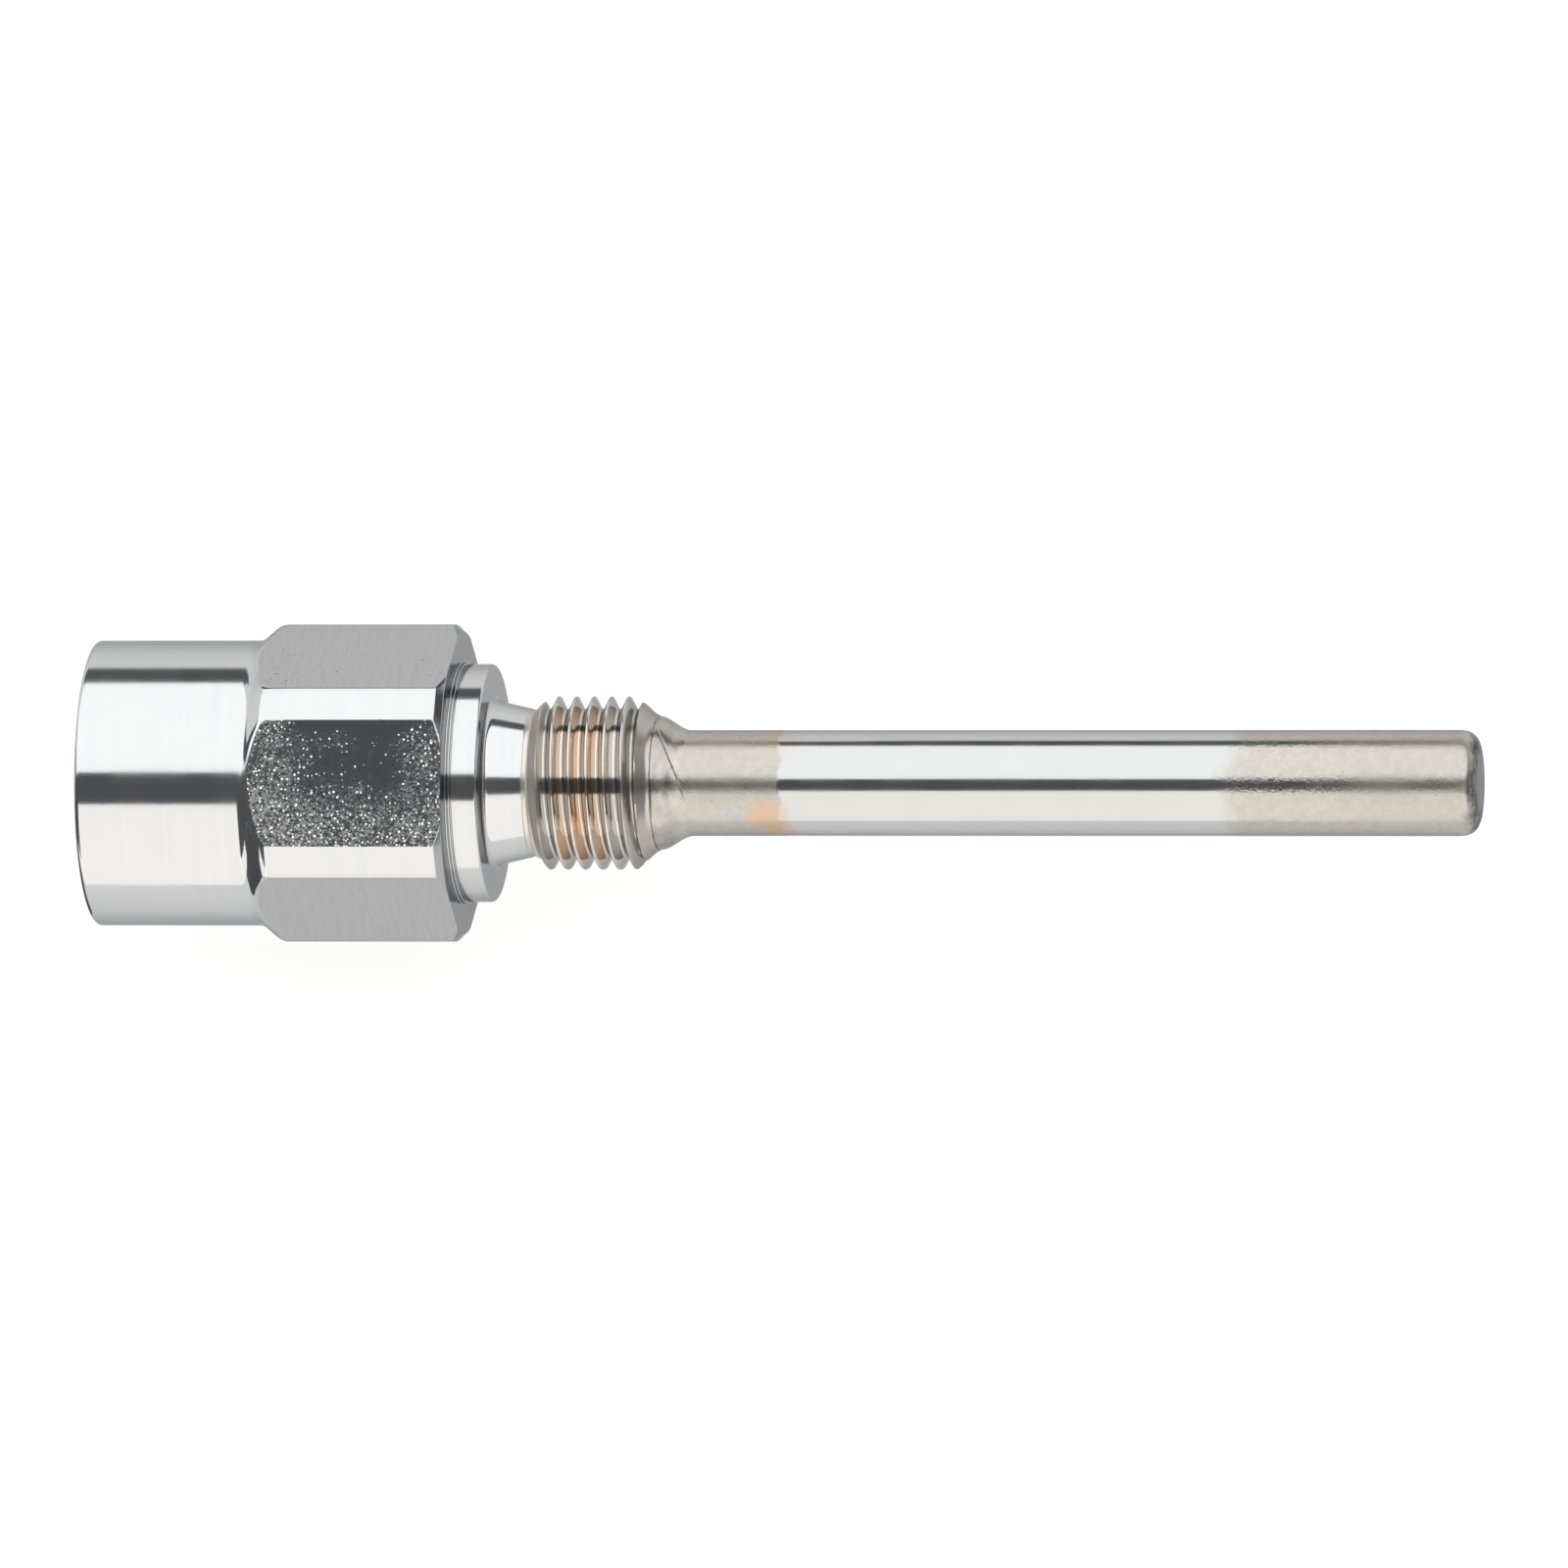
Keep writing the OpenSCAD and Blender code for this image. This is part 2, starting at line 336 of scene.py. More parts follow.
# ---------------------------------------------------------------- materials
class Nodes:
    """One material and its node tree. A value is either a number, a tuple or the output of a node."""

    def __init__(self, name):
        self.material = bpy.data.materials.new(name)
        self.material.use_nodes = True
        self.tree = self.material.node_tree
        self.tree.nodes.clear()
        self.output = self.add("ShaderNodeOutputMaterial")
        self.shader = self.add("ShaderNodeBsdfPrincipled")
        self.show(self.shader)

    def add(self, kind, **settings):
        node = self.tree.nodes.new(kind)
        for key, value in settings.items():
            setattr(node, key, value)
        return node

    def link(self, output, socket):
        self.tree.links.new(output, socket)

    def show(self, shader):
        """Makes a shader the surface of the material."""
        self.link(shader.outputs[0], self.output.inputs[0])

    def put(self, socket, value):
        """Links a socket to an output, or sets it."""
        if hasattr(value, "is_output"):
            self.link(value, socket)
        elif socket.type == "RGBA":
            socket.default_value = (*value, 1.0)
        else:
            socket.default_value = value

    def feed(self, **values):
        """Gives values to the main shader: Base_Color=tone is its input Base Color."""
        for key, value in values.items():
            self.put(self.shader.inputs[key.replace("_", " ")], value)

    def metal(self, rough, edge):
        """Bare steel; edge is how much it still mirrors at a glancing angle, a little bluer than head on.

        rough is the plain value, which a roughness that is worked out and linked takes the place of.
        """
        self.feed(Metallic=1.0, Roughness=rough, Specular_Tint=(edge * 0.97, edge, edge * 1.03))

    def matt(self):
        """Dull surface without gloss."""
        self.feed(Roughness=0.9, Specular_IOR_Level=0.0)

    def math(self, operation, a, b=None, c=None, clamp=False):
        node = self.add("ShaderNodeMath", operation=operation, use_clamp=clamp)
        for i, value in enumerate((a, b, c)):
            if value is not None:
                self.put(node.inputs[i], value)
        return node.outputs[0]

    def plus(self, a, b):
        return self.math("ADD", a, b)

    def minus(self, a, b):
        return self.math("SUBTRACT", a, b)

    def times(self, a, b):
        return self.math("MULTIPLY", a, b)

    def times_plus(self, a, b, c, clamp=False):
        """a times b, plus c."""
        return self.math("MULTIPLY_ADD", a, b, c, clamp)

    def vector_math(self, operation, a, b=None):
        node = self.add("ShaderNodeVectorMath", operation=operation)
        self.put(node.inputs[0], a)
        if b is not None:
            self.put(node.inputs[1], b)
        return node

    def stretch(self, vector, xyz):
        """Vector with each axis multiplied by its own number."""
        return self.vector_math("MULTIPLY", vector, xyz).outputs[0]

    def scale_by(self, vector, amount):
        node = self.vector_math("SCALE", vector)
        self.put(node.inputs["Scale"], amount)
        return node.outputs[0]

    def push(self, vector, shift, amount):
        """Vector moved by the same shift along all three axes."""
        return self.vector_math("ADD", vector, self.times(shift, amount)).outputs[0]

    def vector(self, *parts):
        node = self.add("ShaderNodeCombineXYZ")
        for i, part in enumerate(parts):
            self.put(node.inputs[i], part)
        return node.outputs[0]

    def xyz(self, vector):
        node = self.add("ShaderNodeSeparateXYZ")
        self.link(vector, node.inputs[0])
        return node.outputs

    def noise(self, vector, scale, detail=2.0, rough=0.5):
        node = self.add("ShaderNodeTexNoise")
        self.link(vector, node.inputs["Vector"])
        node.inputs["Scale"].default_value = scale
        node.inputs["Detail"].default_value = detail
        node.inputs["Roughness"].default_value = rough
        return node.outputs["Fac"]

    def drift(self, vector, scale, detail, rough):
        """Noise about zero."""
        return self.minus(self.noise(vector, scale, detail, rough), 0.5)

    def streaks(self, vector, xyz, detail, rough):
        """Noise with its own scale along each axis."""
        return self.noise(self.stretch(vector, xyz), 1.0, detail, rough)

    def ramp(self, value, low, high, out_low=0.0, out_high=1.0):
        """Smooth change from out_low to out_high while the value goes from low to high."""
        node = self.add("ShaderNodeMapRange", interpolation_type="SMOOTHSTEP")
        self.put(node.inputs["Value"], value)
        self.put(node.inputs["From Min"], low)
        self.put(node.inputs["From Max"], high)
        self.put(node.inputs["To Min"], out_low)
        self.put(node.inputs["To Max"], out_high)
        return node.outputs["Result"]

    def window(self, value, low, high, soft):
        """One between low and high, falling to zero over the soft distance on either side."""
        rise = self.ramp(value, low - soft, low + soft)
        fall = self.ramp(value, high - soft, high + soft, 1.0, 0.0)
        return self.times(rise, fall)

    def mix(self, amount, a, b):
        """Colour between a and b."""
        node = self.add("ShaderNodeMix", data_type="RGBA")
        self.put(node.inputs[0], amount)
        self.put(node.inputs[6], a)
        self.put(node.inputs[7], b)
        return node.outputs[2]

    def mix_value(self, amount, a, b):
        """Number between a and b."""
        node = self.add("ShaderNodeMix", data_type="FLOAT")
        self.put(node.inputs[0], amount)
        self.put(node.inputs[2], a)
        self.put(node.inputs[3], b)
        return node.outputs[0]

    def bump(self, height, distance, normal=None):
        node = self.add("ShaderNodeBump")
        node.inputs["Strength"].default_value = 1.0
        node.inputs["Distance"].default_value = distance
        self.link(height, node.inputs["Height"])
        if normal is not None:
            self.link(normal, node.inputs["Normal"])
        return node.outputs[0]

    def place(self):
        """Place on the object, in metres."""
        return self.add("ShaderNodeTexCoord").outputs["Object"]

    def station(self, place):
        """Distance from the socket mouth, in millimetres."""
        return self.times_plus(self.xyz(place)[0], PER_METRE, DATUM)

    def radius(self, place):
        """Distance from the axis, in millimetres."""
        _, y, z = self.xyz(place)
        square = self.plus(self.times(y, y), self.times(z, z))
        return self.times(self.math("SQRT", square), PER_METRE)


def polished_steel():
    """Turned and polished body: faint lines round the axis, duller and browner near the thread."""
    k = Nodes("polished_steel")
    k.metal(rough=0.1, edge=0.5)
    place = k.place()
    station = k.station(place)
    haze = k.noise(place, 230.0, 3.0, 0.6)
    bands = k.streaks(place, (1600.0, 30.0, 30.0), 2.0, 0.5)
    tone = k.mix(haze, (0.545, 0.55, 0.555), (0.6, 0.6, 0.595))
    tone = k.mix(k.ramp(bands, 0.3, 0.7, 0.0, 0.5), tone, (0.6, 0.597, 0.585))
    dull = k.times(k.ramp(station, 33.1, 33.5), k.ramp(haze, 0.2, 0.5, 0.7, 1.0))
    tone = k.mix(dull, tone, (0.6, 0.562, 0.512))

    # painted shade, darker down the sides of the hexagon, and on its far chamfer and face
    side = k.math("ABSOLUTE", k.times(k.xyz(place)[1], PER_METRE))
    sides = k.times(k.ramp(side, 6.6, 8.2), k.window(station, 13.6, 27.9, 0.5))
    tone = k.mix(sides, tone, (0.425, 0.42, 0.42))
    far_end_shade = k.times(k.window(station, 27.5, 28.2, 0.08), k.ramp(k.radius(place), 9.12, 9.4))
    k.feed(Base_Color=k.mix(far_end_shade, tone, (0.4, 0.41, 0.41)))

    lines = k.streaks(place, (9000.0, 400.0, 400.0), 2.0, 0.5)
    grain = k.noise(place, 7000.0, 2.0, 0.5)
    plain = k.plus(k.ramp(haze, 0.3, 0.7, 0.085, 0.125), k.times(grain, 0.02))
    height = k.times(k.plus(k.times(lines, 0.5), grain), k.times_plus(dull, 2.5, 1.0))
    k.feed(Roughness=k.times_plus(dull, 0.2, plain), Normal=k.bump(height, 0.0000012))
    return k.material


def blasted_steel():
    """Fine-blasted flats: small facets, each tilted its own way, and painted glints sparkle over a mottled
    ground.
    """
    k = Nodes("blasted_flats")
    k.metal(rough=0.15, edge=0.8)
    place = k.place()
    station = k.station(place)
    x, y, z = k.xyz(place)
    side = k.times(y, PER_METRE)

    # the facets crowd towards both ends of the hexagon and towards -Y, and thin out at +Y
    ends = k.plus(k.ramp(station, 20.0, 14.5, 0.0, 0.55), k.ramp(station, 23.0, 27.0, 0.0, 0.33))
    sides = k.plus(k.ramp(side, 1.0, -4.2, 0.0, 0.6), k.ramp(side, 3.0, 4.8, 0.0, -0.25))
    crowd = k.plus(k.plus(ends, sides), 0.03)
    crowd = k.times_plus(k.drift(place, 330.0, 3.0, 0.6), 1.2, crowd, clamp=True)

    # level is one on the flats above and below; on the others the facets end just short of those
    upright = k.math("ABSOLUTE", z)
    level = k.ramp(upright, 0.01092, 0.01098)
    crowd = k.times(crowd, k.math("MAXIMUM", level, k.ramp(upright, 0.0107, 0.0103)))

    # x, and the distance across whichever flat this is
    flat_place = k.vector(x, k.mix_value(level, k.times(z, 1.155), y))

    def facets(scale, share, least, jitter):
        """Facets that lean, each its own way: their mask, their shade, and the lean as a vector."""
        cells = k.add("ShaderNodeTexVoronoi", feature="F1", voronoi_dimensions="2D")
        cells.inputs["Scale"].default_value = scale
        bend = k.drift(place, 2600.0, 1.0, 0.5)
        k.link(k.push(flat_place, bend, jitter), cells.inputs["Vector"])
        pick, shade, tilt = k.xyz(cells.outputs["Color"])
        chosen = k.math("LESS_THAN", pick, k.times_plus(crowd, share, least))
        size = k.times_plus(shade, 0.14, 0.22)
        inside = k.ramp(cells.outputs["Distance"], size, k.times(size, 0.35))
        mask = k.times(inside, chosen)
        across = k.times_plus(tilt, 0.54, -0.2)
        lean = k.vector(k.times_plus(shade, 0.1, -0.05), across, k.times(across, -0.2))
        return mask, shade, k.scale_by(lean, mask)

    coarse, shade, coarse_lean = facets(3000.0, 1.45, 0.07, 0.00012)
    small, _, small_lean = facets(4100.0, 1.3, 0.02, 0.0001)
    frost = k.times(k.ramp(k.noise(place, 3700.0, 2.0, 0.6), 0.42, 0.66), k.times(crowd, level))
    frost = k.times(frost, k.minus(1.0, coarse))
    k.feed(Roughness=k.times_plus(frost, 0.36, 0.15))

    fine = k.times(k.noise(place, 5200.0, 2.0, 0.6), k.times_plus(crowd, 1.0, 0.1))
    normal = k.bump(fine, 0.00002)
    for lean in (coarse_lean, small_lean):
        normal = k.vector_math("ADD", normal, lean).outputs[0]
    k.feed(Normal=k.vector_math("NORMALIZE", normal).outputs[0])

    # every flat has the marks of grinding; on those above and below the facets add painted glints and
    # painted dark specks
    ground = k.streaks(place, (5200.0, 420.0, 420.0), 3.0, 0.6)
    tone = k.mix(k.ramp(ground, 0.35, 0.65), (0.412, 0.408, 0.41), (0.438, 0.434, 0.432))
    pits = k.ramp(k.noise(place, 2300.0, 1.0, 0.5), 0.74, 0.8, 0.0, 0.3)
    tone = k.mix(pits, tone, (0.25, 0.25, 0.25))
    # painted dark specks: the small facets darken on the flats above and below
    tone = k.mix(k.times(small, level), tone, (0.24, 0.235, 0.23))
    # painted glints: the coarse facets turn pale on the flats above and below
    bright = k.mix(shade, (0.36, 0.355, 0.35), (0.8, 0.79, 0.77))
    k.feed(Base_Color=k.mix(k.times(coarse, level), tone, bright))
    return k.material


def thread_steel():
    """Bright crests over grooves that carry a copper-brown tint, strongest in the middle turns."""
    k = Nodes("thread_steel")
    k.metal(rough=0.14, edge=0.5)
    place = k.place()
    station = k.station(place)
    cloud = k.streaks(place, (700.0, 260.0, 260.0), 2.0, 0.5)
    tint = k.times(k.window(station, 36.1, 39.6, 1.0), k.ramp(cloud, 0.32, 0.6, 0.35, 1.0))
    tint = k.times(tint, k.ramp(k.radius(place), 6.5, 6.25))
    tone = k.mix(cloud, (0.6, 0.575, 0.545), (0.67, 0.65, 0.62))
    ends = k.minus(1.0, k.window(station, 34.9, 41.0, 0.4))
    tone = k.mix(ends, tone, (0.44, 0.415, 0.38))
    start = k.ramp(station, 34.95, 34.3)
    tone = k.mix(start, tone, (0.6, 0.565, 0.52))
    rough = k.times_plus(ends, 0.15, k.ramp(cloud, 0.3, 0.7, 0.075, 0.12))
    grain = k.noise(place, 5200.0, 3.0, 0.6)
    k.feed(Base_Color=k.mix(tint, tone, (0.7, 0.53, 0.41)),
           Roughness=k.times_plus(start, 0.28, rough),
           Normal=k.bump(grain, 0.0000028))
    return k.material


def matt_finish(k, place):
    """Pickled steel beside a weld: beige, mottled, with pebbled pits. Gives colour, roughness and height."""
    mottle = k.noise(place, 1500.0, 4.0, 0.7)
    cloud = k.noise(place, 260.0, 2.0, 0.5)
    tone = k.mix(k.ramp(mottle, 0.3, 0.7), (0.44, 0.41, 0.37), (0.485, 0.458, 0.418))
    pebble = k.noise(place, 3600.0, 2.0, 0.5)
    grit = k.noise(place, 7600.0, 2.0, 0.6)
    specks = k.ramp(k.noise(place, 3900.0, 1.0, 0.5), 0.71, 0.77)
    tone = k.mix(k.times(specks, 0.35), tone, (0.2, 0.185, 0.17))
    return tone, k.ramp(cloud, 0.3, 0.7, 0.26, 0.31), k.times_plus(grit, 0.4, pebble)


PEBBLE_DEPTH = 0.000028     # metres, at the matt ends of the tube and at the tip


def tube_steel():
    """Drawn tube: polished in the middle, matt and mottled at both ends, heat-tinted beside the weld."""
    k = Nodes("tube_steel")
    k.metal(rough=0.12, edge=0.52)
    place = k.place()
    station = k.station(place)
    dull, dull_rough, pebble = matt_finish(k, place)
    ragged = k.drift(place, 700.0, 3.0, 0.6)
    drift = k.drift(place, 320.0, 2.0, 0.5)
    left = k.ramp(k.times_plus(ragged, 1.6, station), 52.35, 52.75, 1.0, 0.0)
    right = k.ramp(k.times_plus(drift, 6.0, station), 85.6, 88.6)
    far = k.ramp(k.times_plus(drift, 5.0, station), 92.5, 96.5)
    matt = k.math("MAXIMUM", left, right)
    bright = k.mix(k.plus(drift, 0.5), (0.515, 0.515, 0.505), (0.545, 0.545, 0.54))
    tone = k.mix(matt, bright, dull)

    def patch(x, y, z, size):
        """Blotch round a point of the surface, with a ragged edge."""
        centre = ((x - DATUM) * MM, y * MM, z * MM)
        distance = k.vector_math("DISTANCE", k.push(place, ragged, 0.0011), centre).outputs["Value"]
        return k.ramp(distance, size * MM, size * 0.35 * MM)

    # heat colours: orange on the near side with a blue edge, and a fainter blotch at the top
    for centre, size, amount, color in (
            ((49.2, -2.6, 3.0), 1.0, 0.45, (0.36, 0.42, 0.47)),
            ((51.6, -2.6, 3.0), 2.1, 0.7, (0.57, 0.37, 0.25)),
            ((52.6, -3.7, 1.5), 1.7, 0.55, (0.56, 0.38, 0.24)),
            ((52.4, 3.2, 2.4), 2.2, 0.3, (0.6, 0.42, 0.3))):
        tone = k.mix(k.times(patch(*centre, size), amount), tone, color)

    plain = k.ramp(drift, -0.2, 0.2, 0.12, 0.15)
    bumpy = k.minus(right, far)
    rough = k.times_plus(bumpy, -0.1, k.mix_value(matt, plain, dull_rough))
    deep = k.times_plus(bumpy, 0.25, k.times_plus(matt, 0.3, 0.015))
    lines = k.streaks(place, (120.0, 5200.0, 5200.0), 2.0, 0.5)
    pebbled = k.bump(k.times(pebble, deep), PEBBLE_DEPTH)
    k.feed(Base_Color=tone, Roughness=rough, Normal=k.bump(lines, 0.0000015, pebbled))
    return k.material


def weld_steel():
    """Fillet weld: darker and browner than the tube at the body, like the tube's matt end at its toe."""
    k = Nodes("weld_steel")
    k.metal(rough=0.26, edge=0.6)
    place = k.place()
    dull, _, pebble = matt_finish(k, place)
    cloud = k.noise(place, 420.0, 3.0, 0.6)
    brown = k.mix(k.ramp(cloud, 0.3, 0.7), (0.33, 0.31, 0.285), (0.46, 0.435, 0.4))
    near_tube = k.ramp(k.radius(place), 4.6, 4.25)
    rough = k.times_plus(near_tube, 0.04, k.ramp(cloud, 0.3, 0.7, 0.17, 0.25))
    height = k.times(pebble, k.times_plus(near_tube, 0.15, 0.25))
    k.feed(Base_Color=k.mix(near_tube, brown, dull), Roughness=rough, Normal=k.bump(height, 0.000016))
    return k.material


def cap_steel():
    """Welded tip: the tube's matt finish, burnt dark and rough round the edge, with a plain grey face."""
    k = Nodes("cap_steel")
    k.metal(rough=0.3, edge=0.6)
    place = k.place()
    radius = k.radius(place)
    dull, dull_rough, pebble = matt_finish(k, place)
    ragged = k.drift(place, 900.0, 3.0, 0.65)
    burnt = k.ramp(k.times_plus(ragged, 0.9, radius), 3.97, 3.25)
    edge = k.mix(k.ramp(ragged, -0.12, 0.2), (0.08, 0.075, 0.07), (0.25, 0.236, 0.22))
    tone = k.mix(burnt, dull, edge)

    # the face inside the burnt ring, and painted shade of a crevice round it
    face = k.ramp(radius, 2.5, 2.15)
    mottle = k.ramp(k.noise(place, 1500.0, 3.0, 0.6), 0.35, 0.65)
    tone = k.mix(face, tone, k.mix(mottle, (0.2, 0.194, 0.187), (0.24, 0.233, 0.225)))
    breaks = k.ramp(k.noise(place, 620.0, 3.0, 0.7), 0.45, 0.62)
    crevice_shade = k.times(k.window(radius, 2.15, 2.5, 0.3), breaks)
    k.feed(Base_Color=k.mix(crevice_shade, tone, (0.06, 0.055, 0.05)))

    deep = k.times(k.times_plus(burnt, 0.5, 0.3), k.times_plus(face, -0.8, 1.0))
    pebbled = k.bump(k.times(pebble, deep), PEBBLE_DEPTH)
    k.feed(Roughness=k.times_plus(burnt, 0.05, dull_rough), Normal=pebbled)
    return k.material


def bored_steel():
    """Inside surfaces: drilled and tapped, plain and a little duller."""
    k = Nodes("bored_steel")
    k.metal(rough=0.24, edge=0.8)
    place = k.place()
    spots = k.noise(place, 900.0, 3.0, 0.6)
    grain = k.noise(place, 4500.0, 3.0, 0.6)
    k.feed(Base_Color=k.mix(spots, (0.42, 0.42, 0.415), (0.52, 0.52, 0.515)), Normal=k.bump(grain, 0.000003))
    return k.material


# ---------------------------------------------------------------- machined body
def sector_angles():
    """Angles round the hexagon, closer together at the edges of its corner lands."""
    edge = math.degrees(math.acos(FLAT_R / TURNED_R))
    half = [0, 2.5, 5, 7.5, 10, 12.5, 15, 17, 19, 20.5, 21.8, 22.6, 23.05]
    half += [edge - 0.25, edge - 0.1, edge, edge + 0.1, edge + 0.25]
    half += [24.0, 24.8, 26, 27.5, 29]
    both = sorted([-h for h in half if h > 0] + half)
    angles = []
    for sector in range(6):
        middle = 90 + 60 * sector
        angles += [(middle + angle) % 360 for angle in both]
    return [math.radians(angle) for angle in sorted(angles)]


def hex_limit(phi):
    """Radius of the hexagon at an angle; two of its flats face +Z and -Z."""
    sector = math.pi / 3
    off_middle = (phi - math.pi / 2 + sector / 2) % sector - sector / 2
    return FLAT_R / math.cos(off_middle)


def outer_radius(x, r, phi):
    """Turned radius cut back by the flats, with a wider blend at the shoulder."""
    edge_blend, shoulder_blend, shoulder_length = 0.035, 0.22, 1.2
    if HEX_FROM < x < HEX_TO and r > FLAT_R - 0.1:
        near_shoulder = clamp((SHOULDER_OVER - x) / shoulder_length)
        return soft_min(r, hex_limit(phi), edge_blend + shoulder_blend * near_shoulder)
    return r


def flat_tag(verts, a, b, j):
    """Tag of a quad between two rings: blasted where all its corners lie on a flat."""
    on_flat = 0.012
    if not all(HEX_FROM < verts[ring[0][j]][0] < HEX_TO for ring in (a, b)):
        return POLISHED
    for ids, phis in (a, b):
        for k in (j, (j + 1) % len(ids)):
            _, y, z = verts[ids[k]]
            if abs(math.hypot(y, z) - hex_limit(phis[k])) > on_flat:
                return POLISHED
    return BLASTED


def off_crest(x, phi, pitch):
    """Distance along X to the nearest turn of a thread that crosses +Y at zero."""
    return abs((x - pitch * phi / TAU + pitch / 2) % pitch - pitch / 2)


def thread_form(x, phi):
    """Cut thread: 55 degree flanks, a narrow rounded crest and a wider rounded root."""
    off = off_crest(x - CREST_X, phi, PITCH)
    off_root = PITCH / 2 - off
    slope = 1.0 / math.tan(HALF_ANGLE)
    low = THREAD_APEX - slope * PITCH / 2
    if off < CREST_ROUND * math.cos(HALF_ANGLE):
        return THREAD_APEX - CREST_ROUND / math.sin(HALF_ANGLE) + math.sqrt(CREST_ROUND ** 2 - off * off)
    if off_root < ROOT_ROUND * math.cos(HALF_ANGLE):
        return low + ROOT_ROUND / math.sin(HALF_ANGLE) - math.sqrt(ROOT_ROUND ** 2 - off_root * off_root)
    return THREAD_APEX - slope * off


def nose_radius(x, phi):
    """Nose blank with its chamfers, cut by the thread, which fades out at the end of the nose."""
    fade_end, fade_length = NOSE_END - 0.3, 0.9
    past_chamfer = x - NOSE_END + NOSE_CHAMFER
    if x < START_X:
        rise = max(0.0, (x - (START_X - START_CHAMFER)) / START_CHAMFER)
        blank = RELIEF_R + (THREAD_R - RELIEF_R) * rise
    elif x > NOSE_END - NOSE_CHAMFER:
        blank = soft_max(THREAD_R - NOSE_CHAMFER_SLOPE * past_chamfer, NOSE_LEAST_R, 0.3)
    else:
        blank = THREAD_R
    fade = clamp((fade_end - x) / fade_length)
    cut = THREAD_R + (thread_form(x, phi) - THREAD_R) * fade
    return soft_min(blank, cut, 0.05)


def bore_radius(x, phi):
    """Bore with its inside thread, which runs out before the floor, and the 45 degree cone at its mouth."""
    off = off_crest(x, phi, BORE_PITCH)
    if off < BORE_ROOT_HALF:
        cut = BORE_MAJOR_R
    else:
        cut = max(BORE_R, BORE_MAJOR_R - (off - BORE_ROOT_HALF) * BORE_FLANK_SLOPE)
    fade = clamp((BORE_FADE_END - x) / BORE_FADE)
    return soft_max(BORE_R + (cut - BORE_R) * fade, CONE_R - x, 0.04)


def machined_body(inside):
    """Socket, hexagon, collar, neck and threaded nose, with the bore and the seat of the tube."""
    body = Skin()

    # outside of the socket, hexagon and collar, as far as the sealing face
    outline = rounded([
        (0.0, CONE_R, 0), (0.0, RIM_R, 0), (0.0, SOCKET_R, 0.35),
        (SHOULDER_FROM, SOCKET_R, 1.3), (SHOULDER_TO, TURNED_R, 1.1),
        (HEX_CHAMFER_X, TURNED_R, 0.3), (HEX_END, HEX_CHAMFER_R, 0.12), (HEX_END, STEP_R, 0.06),
        (STEP_X, STEP_R, 0.06), (UNDERCUT_X, UNDERCUT_R, 0.03), (COLLAR_X, COLLAR_R, 0.03),
        (SEAL_X, COLLAR_R, 0.25), (SEAL_X, SEAL_OUTER_R, 0)], steps=6)
    outline = fill_in(outline, [
        (12.2, SHOULDER_OVER, 0.06),                    # shoulder
        (27.2, HEX_END - 0.01, 0.05),                   # far chamfer
        (HEX_END - 0.01, HEX_END + 0.01, 0.4),          # far face
        (0.3, 12.2, 1.2),                               # socket
        (SHOULDER_OVER, 27.2, 1.5)])                    # flats
    mouth_edge, seal = body.turned(outline, sector_angles(), outer_radius, flat_tag)

    # neck and threaded nose
    round_nose = evenly(NOSE_SIDES)
    outline = rounded([
        (SEAL_X, SEAL_INNER_R, 0), (SEAL_X + 0.02, NECK_ROOT_R, 0.6), (NECK_X, NECK_R, 0.15),
        (RELIEF_X, RELIEF_R, 0.1), (THREAD_FROM, RELIEF_R, 0)], steps=8)
    neck_start, neck_end = body.turned(fill_in(outline, [(SEAL_X, 33.2, 0.3)]), round_nose)
    body.join(seal, neck_start)
    thread_end_x = NOSE_END - 0.05
    thread_end = body.ring(thread_end_x, nose_radius, round_nose)
    body.screw(neck_end, thread_end, THREAD_FROM, thread_end_x, PITCH, NOSE_ROWS, nose_radius, THREADED)
    nose_face = body.ring(NOSE_END, NOSE_FACE_R, round_nose)
    body.join(thread_end, nose_face, THREADED)

    # seat of the tube, passage and drilled floor
    seat = [nose_face]
    for x, r in ((NOSE_END, SEAT_R), (TUBE_START, SEAT_R), (TUBE_START, TUBE_BORE_R)):
        seat.append(body.ring(x, r, round_nose))
    body.chain(seat, BORED)
    round_bore = evenly(BORE_SIDES)
    bore = [seat[-1]]
    for x, r in ((FLOOR_X, TUBE_BORE_R), (BORE_DEPTH, BORE_R), (BORE_THREAD_END, BORE_R)):
        bore.append(body.ring(x, r, round_bore))
    body.chain(bore, BORED)

    # inside thread
    mouth = body.ring(BORE_MOUTH_X, bore_radius, round_bore)
    body.screw(mouth, bore[-1], BORE_MOUTH_X, BORE_THREAD_END, BORE_PITCH, BORE_ROWS, bore_radius, BORED)
    body.join(mouth_edge, mouth, BORED)
    return body.build("machined_body", [polished_steel(), blasted_steel(), thread_steel(), inside])


# ---------------------------------------------------------------- probe tube
ROUND_TUBE = evenly(TUBE_SIDES)


def tube_radius(x, phi):
    """Outside of the tube, which wanders inwards by a few thousandths."""
    wave, seed, depth = 7.0, 3.1, 0.0022
    place = Vector((x / wave + seed, math.cos(phi) * TUBE_R / wave, math.sin(phi) * TUBE_R / wave))
    return TUBE_R + depth * noise.noise(place) - depth


def probe_tube(inside):
    """Drawn tube, open at both ends of its own piece: the tip closes it."""
    tube = Skin()
    first_x, step = 42.6, 0.45      # just inside the nose, and from there ring by ring
    stations = [TUBE_START, *np.arange(first_x, SEAM_X - 0.2, step), SEAM_X]
    rings = [tube.ring(float(x), tube_radius, ROUND_TUBE) for x in stations]
    tube.chain(rings, TUBE_OUTSIDE)
    inner = [rings[-1]]
    for x in (SEAM_X, TUBE_START):
        inner.append(tube.ring(x, TUBE_BORE_R, ROUND_TUBE))
    tube.chain([*inner, rings[0]], TUBE_INSIDE)
    return tube.build("tube_wall", [tube_steel(), inside])


